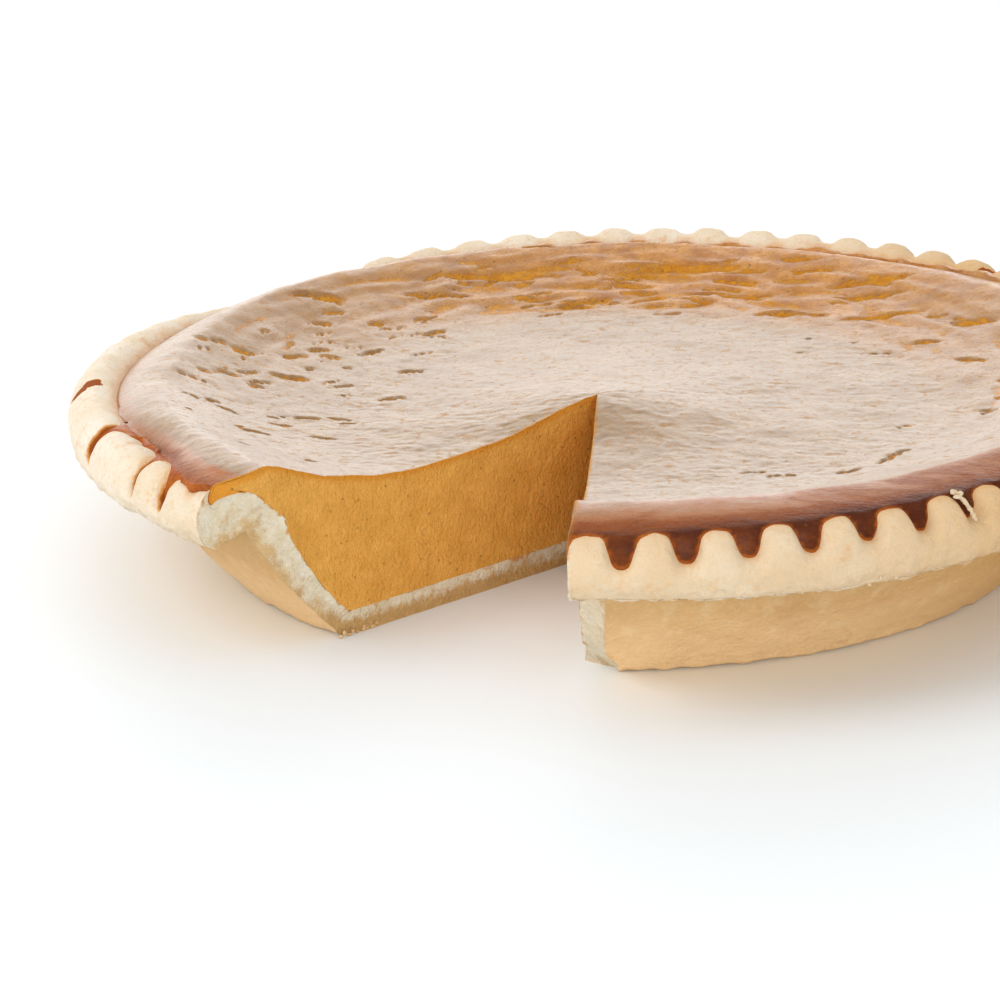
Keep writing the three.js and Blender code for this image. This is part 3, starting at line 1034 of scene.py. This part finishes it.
def build_custard():
    last = (CUSTARD_ALONG, CUSTARD_ACROSS, CUSTARD_COLUMNS)
    mesh, layers = swept_strip(*last)
    along, across, column = layers
    thin_columns(mesh, layers, 8, CUSTARD_COLUMNS,
                 lambda step, line: line == 0 and step < CUSTARD_ALONG)
    for every in (2, 4, 8):
        thin_columns(mesh, layers, every, CUSTARD_COLUMNS,
                     lambda step, line: line == CUSTARD_ACROSS and step <= TOP_STEPS // every)
    cap_edges = cap_outline(mesh, layers, last)
    cut, tear, toast, depth, thin, ooze = float_layers(mesh, CUSTARD_VALUES)
    surface = []
    for vert, step, share, azimuth, height, top in placed_verts(mesh, layers, last, custard_lines):
        film = max(0.0, (step - TOP_STEPS) / FILM_STEPS)
        if vert[column] == 0:
            vert[cut] = lerp(1, 0.25, smoothstep(film, 0, 0.2))
        elif vert[column] == CUSTARD_COLUMNS:
            vert[cut] = 1.0
        vert[depth] = top[1] - height
        if share == 1:
            vert[toast] = toast_at(azimuth, top[0], film)
            vert[thin] = smoothstep(top[0], 60, 82) * hump(azimuth, 76, 62)
            vert[ooze] = ooze_at(azimuth, film, *top[:2])
            surface.append((vert, azimuth, top[0], film))
    mesh.normal_update()
    for vert in mesh.verts:
        if vert[column] in (0, CUSTARD_COLUMNS) and 0 < vert[across] < CUSTARD_ACROSS:
            roughen_cut(vert, vert[along])
    opened = tear_the_skin([vert for vert, *_ in surface if vert[along] <= TOP_STEPS])
    for vert, azimuth, radius, film in surface:
        relief, fold = skin_relief(vert.co, azimuth, radius)
        relief *= 1 - 0.75 * smoothstep(film, 0, 0.4)
        vert.co.z = min(vert.co.z + relief, HIGHEST_CUSTARD)
        vert[tear] = max(opened.get(vert, 0.0), 0.7 * smoothstep(-fold, 0.08, 0.36))
    return finished_piece("pie_custard", mesh, cap_edges)


custard = build_custard()

# %% [markdown]
# ## Crumbs
#
# Shortcrust sheds crumbs. Small lumps sit at the foot of the left cut and
# under the lip, and at the front right a thin flake has lifted off the rim: a
# few crumbs at its head, and a row of them close together for the sliver.
# Each is an icosphere, pressed flat or not, with its vertices pushed about by
# noise.

# %% Build the crumbs
# The flake's crumbs: azimuth, share of the rim section and the three half sizes
FLAKE = [(304.0, 0.30, (0.8, 0.7, 0.5)), (304.4, 0.325, (0.9, 0.7, 0.5)),
         (303.8, 0.34, (0.8, 0.8, 0.4))]
FLAKE += [(304.1 + 0.05 * step, 0.345 + 0.013 * step, (0.6, 0.4, 0.4)) for step in range(11)]
EDGE_CRUMBS = 36
random.seed(29)


def on_rim(azimuth, share, pressed=1.0, above=0.0):
    """Radius and height of a point of the rim, where the pastry was moved in."""
    line = rim_points(azimuth, pressed * pinch_at(azimuth))
    radius, height = on_curve(line, share, above)
    return radius - RIM_INSET * smoothstep(radius, 110, 122), height


def edge_crumb():
    """A crumb at the foot of the left cut or under the lip."""
    size = random.uniform(0.2, 0.5)
    shape = tuple(size * random.uniform(0.7, 1.3) for _ in range(3))
    if random.random() < 0.45:
        radius = random.uniform(78, 91)
        azimuth, height = azimuth_on_cut(LEFT_CUT, radius), random.uniform(0.2, 1.0)
    else:
        azimuth = random.uniform(FIRST_AZIMUTH + 8, FIRST_AZIMUTH + 75)
        radius, height = on_rim(azimuth, random.uniform(0.70, 0.80))
    return azimuth, radius, max(height, shape[2]), shape


def build_crumbs():
    mesh = bmesh.new()
    places = [(azimuth, *on_rim(azimuth, share, 0.4, 0.4), shape)
              for azimuth, share, shape in FLAKE]
    places += [edge_crumb() for _ in range(EDGE_CRUMBS)]
    for number, (azimuth, radius, height, shape) in enumerate(places):
        made = bmesh.ops.create_icosphere(mesh, subdivisions=2, radius=1)["verts"]
        angle = math.radians(azimuth)
        centre = Vector((radius * math.cos(angle), radius * math.sin(angle), height))
        for vert in made:
            vert.co *= 1 + 0.55 * noise.noise(vert.co * 1.1 + Vector((number * 3.7, 0, 0)))
            vert.co = Vector([part * half for part, half in zip(vert.co, shape)])
        turn = Matrix.Rotation(angle + scatter(number, 7) - 0.5, 4, "Z")
        lean = Matrix.Rotation(0.5 * (scatter(number, 8) - 0.5), 4, "X")
        bmesh.ops.transform(mesh, matrix=Matrix.Translation(centre) @ turn @ lean, verts=made)
    bmesh.ops.recalc_face_normals(mesh, faces=mesh.faces[:])
    cut, golden, *_ = float_layers(mesh, PASTRY_VALUES)
    for vert in mesh.verts:
        vert.co.z = max(vert.co.z, 0.02)
        vert[cut] = 0.4
        vert[golden] = smoothstep(vert.co.z, 8, 3)
    mesh.transform(Matrix.Scale(MM, 4))
    print("pastry_crumbs has", len(mesh.faces), "triangles")
    return mesh_object("pastry_crumbs", mesh)


crumbs = build_crumbs()

# %% [markdown]
# ## Finishes
#
# A material is a web of nodes. The class below gives the nodes that are used
# often short names: noise, sums and products, ramps from one value to
# another, layers of colour laid over each other by masks, soft mottling and
# pores. Patterns follow the object's own coordinates, in metres, so that they
# have their real size.

# %% Short names for nodes


class Nodes:
    """Adds nodes to one tree. Each call gives the socket that holds the result."""

    def __init__(self, tree):
        self.tree = tree

    def add(self, kind, inputs, output, **settings):
        return add_node(self.tree, kind, inputs, **settings).outputs[output]

    def place(self):
        return self.add("ShaderNodeTexCoord", {}, "Object")

    def axis(self, name):
        return self.add("ShaderNodeSeparateXYZ", {"Vector": self.place()}, name)

    def attribute(self, name):
        return self.add("ShaderNodeAttribute", {}, "Fac", attribute_name=name)

    def noise(self, scale, detail, roughness, stretch=(1, 1, 1)):
        """Noise with this many waves per metre."""
        place = self.add("ShaderNodeMapping", {"Vector": self.place(), "Scale": stretch}, "Vector")
        return self.add("ShaderNodeTexNoise", {"Vector": place, "Scale": scale, "Detail": detail,
                                               "Roughness": roughness}, "Fac")

    def maths(self, operation, first, second, clamp=False):
        return self.add("ShaderNodeMath", {0: first, 1: second}, 0, operation=operation,
                        use_clamp=clamp)

    def plus(self, first, second):
        return self.maths("ADD", first, second)

    def minus(self, first, second):
        return self.maths("SUBTRACT", first, second)

    def times(self, first, second):
        return self.maths("MULTIPLY", first, second)

    def most(self, first, second):
        return self.maths("MAXIMUM", first, second)

    def ramp(self, value, low, high, to_low=0.0, to_high=1.0):
        return self.add("ShaderNodeMapRange", {
            "Value": value, "From Min": low, "From Max": high, "To Min": to_low,
            "To Max": to_high}, "Result", interpolation_type="SMOOTHSTEP")

    def mix(self, factor, first, second):
        first, second = (item if isinstance(item, bpy.types.NodeSocket) else (*item, 1)
                         for item in (first, second))
        return self.add("ShaderNodeMix", {"Factor": factor, "A": first, "B": second}, "Result",
                        data_type="RGBA")

    def layers(self, colour, masked):
        """Lays each colour over the ones before it, where its mask says."""
        for mask, over in masked:
            colour = self.mix(mask, colour, over)
        return colour

    def mottled(self, colours, patches, contrast):
        """Two colours mixed in soft patches, as browning never falls evenly."""
        centred = self.minus(self.noise(patches, 4.0, 0.6), 0.5)
        share = self.maths("ADD", self.times(centred, contrast), 0.5, clamp=True)
        return self.mix(share, *colours)

    def pores(self, scale, size, share):
        """Small round holes scattered over a surface: 1 in a hole, 0 beside it."""
        cells = add_node(self.tree, "ShaderNodeTexVoronoi",
                         {"Vector": self.place(), "Scale": scale}).outputs
        chance = self.add("ShaderNodeSeparateColor", {"Color": cells["Color"]}, "Red")
        hole = self.add("ShaderNodeMapRange", {
            "Value": cells["Distance"], "From Max": size, "To Min": 1.0, "To Max": 0.0}, "Result")
        return self.times(self.maths("LESS_THAN", chance, share), hole)

    def bump(self, shader, height, distance, strength):
        normal = self.add("ShaderNodeBump", {"Height": height, "Distance": distance,
                                             "Strength": strength}, "Normal")
        self.tree.links.new(normal, shader.inputs["Normal"])


print("short names", [name for name in vars(Nodes) if name[0] != "_"])

# %% [markdown]
# ### Baked shortcrust
#
# The rim stayed pale. Its colour is painted palest at the left, painted
# light for the strong light from that side, and it is paler at the back
# too; at the right it is painted darker, a painted shade on the side away
# from the light. The wall baked golden; its colour is painted lighter near
# the foot for the light thrown up by the floor, darker under the lip for
# its shade, and darker at the right for painted shade again. The inside is
# nearly white. Orange marks show where custard has soaked in, and a few
# drips of it are nearly as dark as the film. The surface is dry, so it has
# almost no gloss, and its grain shows as a fine bump, coarser on the cuts.

# %% Material of the pastry
# Pairs are the light and the dark patches of one colour
BLOND = ((0.87, 0.745, 0.57), (0.80, 0.62, 0.41))
GOLDEN = ((0.80, 0.52, 0.245), (0.64, 0.36, 0.145))
# Palest rim colour: painted light at the left, where the light is strongest, and the rim's own
# paler tone at the back
PALE_AND_LIT = ((0.95, 0.86, 0.74), (0.88, 0.75, 0.57))
CRUMB = ((0.96, 0.89, 0.73), (0.85, 0.71, 0.47))
CRUST_SIDE = ((0.84, 0.60, 0.31), (0.62, 0.37, 0.145))
# Colour of the wall's foot: painted light, thrown up by the floor
FLOOR_LIT_FOOT = (1.0, 0.70, 0.385)
# Darker rim colour at the right: painted shade, on the side away from the light
RIM_SHADE_RIGHT = (0.70, 0.43, 0.18)
# Darker wall colour at the right: painted shade
WALL_SHADE_RIGHT = (0.58, 0.29, 0.06)
STREAK = (0.90, 0.70, 0.40)
UNDERSIDE = (0.62, 0.37, 0.135)
SHADED = (0.62, 0.39, 0.17)
TOASTED = (0.72, 0.38, 0.14)
SOAKED = (0.72, 0.33, 0.08)
DRIP = (0.33, 0.080, 0.012)


def make_pastry():
    material, tree, shader = new_material("baked_shortcrust")
    n = Nodes(tree)
    across, away, level = (n.axis(name) for name in "XYZ")
    cut, baked = n.attribute("cut"), n.attribute("golden")
    grain = n.minus(n.noise(330, 4.0, 0.65), 0.5)
    # Palest at the left: painted light; paler at the back as well
    lit_left_pale_back = n.most(n.ramp(across, -0.118, -0.075, 0.9, 0.0), n.ramp(away, 0.080, 0.110, 0.0, 0.45))
    rim = n.layers(n.mottled(BLOND, 95, 2.6), [
        (lit_left_pale_back, n.mottled(PALE_AND_LIT, 95, 2.6)),
        # Darker at the right: painted shade
        (n.ramp(across, 0.025, 0.100, 0.0, 0.75), RIM_SHADE_RIGHT)])
    wall = n.layers(n.mottled(GOLDEN, 70, 2.6), [
        (n.ramp(n.noise(210, 3.0, 0.55, (1, 1, 0.07)), 0.52, 0.72, 0.0, 0.55), STREAK),
        # Lighter near the foot: painted light from the floor
        (n.ramp(level, 0.001, 0.021, 0.85, 0.0), FLOOR_LIT_FOOT),
        (n.ramp(level, 0.012, 0.026, 0.0, 0.9), SHADED),
        # Darker at the right: painted shade
        (n.ramp(across, 0.040, 0.100, 0.0, 0.7), WALL_SHADE_RIGHT)])
    outside = n.layers(rim, [
        (baked, wall),
        (n.ramp(n.noise(150, 4.0, 0.65), 0.58, 0.76, 0.0, 0.6), TOASTED),
        (n.ramp(n.noise(800, 3.0, 0.7), 0.50, 0.70, 0.0, 0.5), GOLDEN[0])])
    side = n.mix(n.ramp(level, 0.001, 0.006, 0.75, 0.0), n.mottled(CRUST_SIDE, 240, 2.6), UNDERSIDE)
    smear = n.plus(n.attribute("skin"), n.times(grain, 1.5))
    inside = n.layers(n.mottled(CRUMB, 260, 2.6), [
        (n.ramp(n.plus(baked, n.times(grain, 1.2)), 0.22, 0.62), side),
        (n.ramp(smear, 0.98, 1.14, 0.0, 0.85), SOAKED)])
    drip = n.ramp(n.plus(n.attribute("drip"), n.times(grain, 0.5)), 0.20, 0.60)
    colour = n.layers(outside, [
        (cut, inside),
        (n.times(n.attribute("soak"), 0.5), SOAKED),
        (n.ramp(drip, 0.0, 0.45), SOAKED),
        (n.ramp(drip, 0.4, 1.0), DRIP)])
    tree.links.new(colour, shader.inputs["Base Color"])
    tree.links.new(n.ramp(drip, 0.2, 0.8, 0.75, 0.95), shader.inputs["Roughness"])
    shader.inputs["Specular IOR Level"].default_value = 0.12
    fine = n.times(n.minus(n.noise(1000, 4.0, 0.7), 0.5), n.plus(n.times(cut, 1.2), 0.7))
    coarse = n.times(n.minus(n.noise(300, 4.0, 0.6), 0.5), n.plus(n.times(cut, 1.4), 1.0))
    n.bump(shader, n.plus(fine, coarse), 0.0010, 0.8)
    return material


pastry = make_pastry()
crust.data.materials.append(pastry)
crumbs.data.materials.append(pastry)
print("pastry nodes", len(pastry.node_tree.nodes))

# %% [markdown]
# ### Baked custard
#
# The skin is orange-brown under a satin gloss. Seen along the surface it
# mirrors the pale room, which is why it looks beige in the middle. Tears,
# thin places and flecks are duller and show the orange inside. The film on
# the rim is browned to mahogany, with a lighter, fresher edge. The cut faces
# are dull ochre with small dark pores.

# %% Material of the custard
SKIN = ((0.42, 0.245, 0.090), (0.325, 0.174, 0.056))
THIN_SKIN = ((0.76, 0.335, 0.070), (0.50, 0.190, 0.040))
TORN = ((0.80, 0.35, 0.022), (0.58, 0.21, 0.010))
OOZE = ((0.62, 0.17, 0.016), (0.40, 0.075, 0.010))
CUT_FACE = ((0.88, 0.455, 0.102), (0.735, 0.352, 0.065))
CUT_TOP = (0.74, 0.29, 0.028)
FLECK = (0.55, 0.27, 0.085)
RUST = (0.49, 0.180, 0.050)
REDDISH = (0.32, 0.080, 0.014)
MAHOGANY = (0.10, 0.019, 0.004)
PORE = (0.20, 0.07, 0.015)


def make_custard_finish():
    material, tree, shader = new_material("baked_custard")
    n = Nodes(tree)
    cut, toast, thin, ooze = (n.attribute(name) for name in ("cut", "toast", "thin", "ooze"))
    toast_noise = n.noise(200, 4.0, 0.65, (0.45, 1.6, 1))
    uneven = n.times(n.times(n.minus(toast_noise, 0.5), 0.6), n.ramp(toast, 0.0, 0.15))
    toasted = n.plus(toast, uneven)
    ragged = n.times(n.minus(n.noise(560, 4.0, 0.7), 0.5), 1.9)
    open_skin = n.ramp(n.plus(n.attribute("tear"), ragged), 0.28, 0.72)
    speck = n.noise(800, 4.0, 0.7)
    mark = n.ramp(n.noise(270, 5.0, 0.7, (0.7, 1.4, 1)), 0.595, 0.66)
    mark = n.most(n.ramp(speck, 0.53, 0.66), mark)
    fleck = n.times(mark, n.ramp(toasted, 0.0, 0.3, 1.0, 0.0))
    skin_pores = n.most(n.pores(330, 0.17, 0.9), n.pores(610, 0.17, 0.6))
    face = n.layers(n.mottled(CUT_FACE, 190, 2.4), [
        (n.ramp(speck, 0.52, 0.72, 0.0, 0.45), CUT_TOP),
        (n.ramp(n.attribute("depth"), 0.2, 2.0, 0.85, 0.0), CUT_TOP),
        (n.times(n.pores(370, 0.15, 0.75), 0.8), PORE)])
    colour = n.layers(n.mottled(SKIN, 110, 2.4), [
        (thin, n.mottled(THIN_SKIN, 170, 3.4)),
        (n.ramp(toasted, 0.05, 0.32), RUST),
        (n.ramp(toasted, 0.25, 0.58), REDDISH),
        (n.ramp(toasted, 0.55, 1.0), MAHOGANY),
        (ooze, n.mottled(OOZE, 240, 2.4)),
        (open_skin, n.mottled(TORN, 300, 2.6)),
        (n.times(fleck, 0.8), FLECK),
        (n.times(skin_pores, 0.85), PORE),
        (cut, face)])
    tree.links.new(colour, shader.inputs["Base Color"])
    roughness = n.plus(n.ramp(toasted, 0.1, 0.8, 0.42, 0.26), n.times(cut, 0.22))
    tree.links.new(roughness, shader.inputs["Roughness"])
    bare = n.most(cut, n.times(ooze, 0.8))
    coat = n.times(n.minus(1.0, bare), n.ramp(toasted, 0.18, 0.55, 1.0, 0.16))
    crusted = n.times(n.ramp(n.axis("X"), 0.020, 0.075), n.ramp(toasted, 0.1, 0.3))
    for dull, share in ((thin, 0.35), (open_skin, 0.6), (fleck, 0.8), (crusted, 0.65)):
        coat = n.times(n.minus(1.0, n.times(dull, share)), coat)
    tree.links.new(coat, shader.inputs["Coat Weight"])
    shader.inputs["Coat Roughness"].default_value = 0.34
    shader.inputs["Specular IOR Level"].default_value = 0.06
    height = n.plus(n.times(n.noise(1200, 3.0, 0.65), 1.3),
                    n.times(n.noise(660, 4.0, 0.65, (0.65, 1.8, 1)), 1.4))
    height = n.plus(height, n.times(open_skin, -0.5))
    height = n.plus(height, n.times(toast_noise, n.ramp(toast, 0.02, 0.2, 0.0, 2.6)))
    n.bump(shader, height, 0.0008, 0.9)
    return material


custard_finish = make_custard_finish()
custard.data.materials.append(custard_finish)
print("custard nodes", len(custard_finish.node_tree.nodes))

# %% [markdown]
# ## Hand the pieces over
#
# All three pieces ride on the pie's one body. The case and the custard each
# stand for the plain solid of the same part, and the crumbs are extra.

# %% Put the pieces on the pie's body and hide the solids they stand for
for piece, node, slot in ((crust, "crust", "pastry"), (custard, "filling", "custard")):
    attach(piece, "root")
    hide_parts(node)
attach(crumbs, "root")
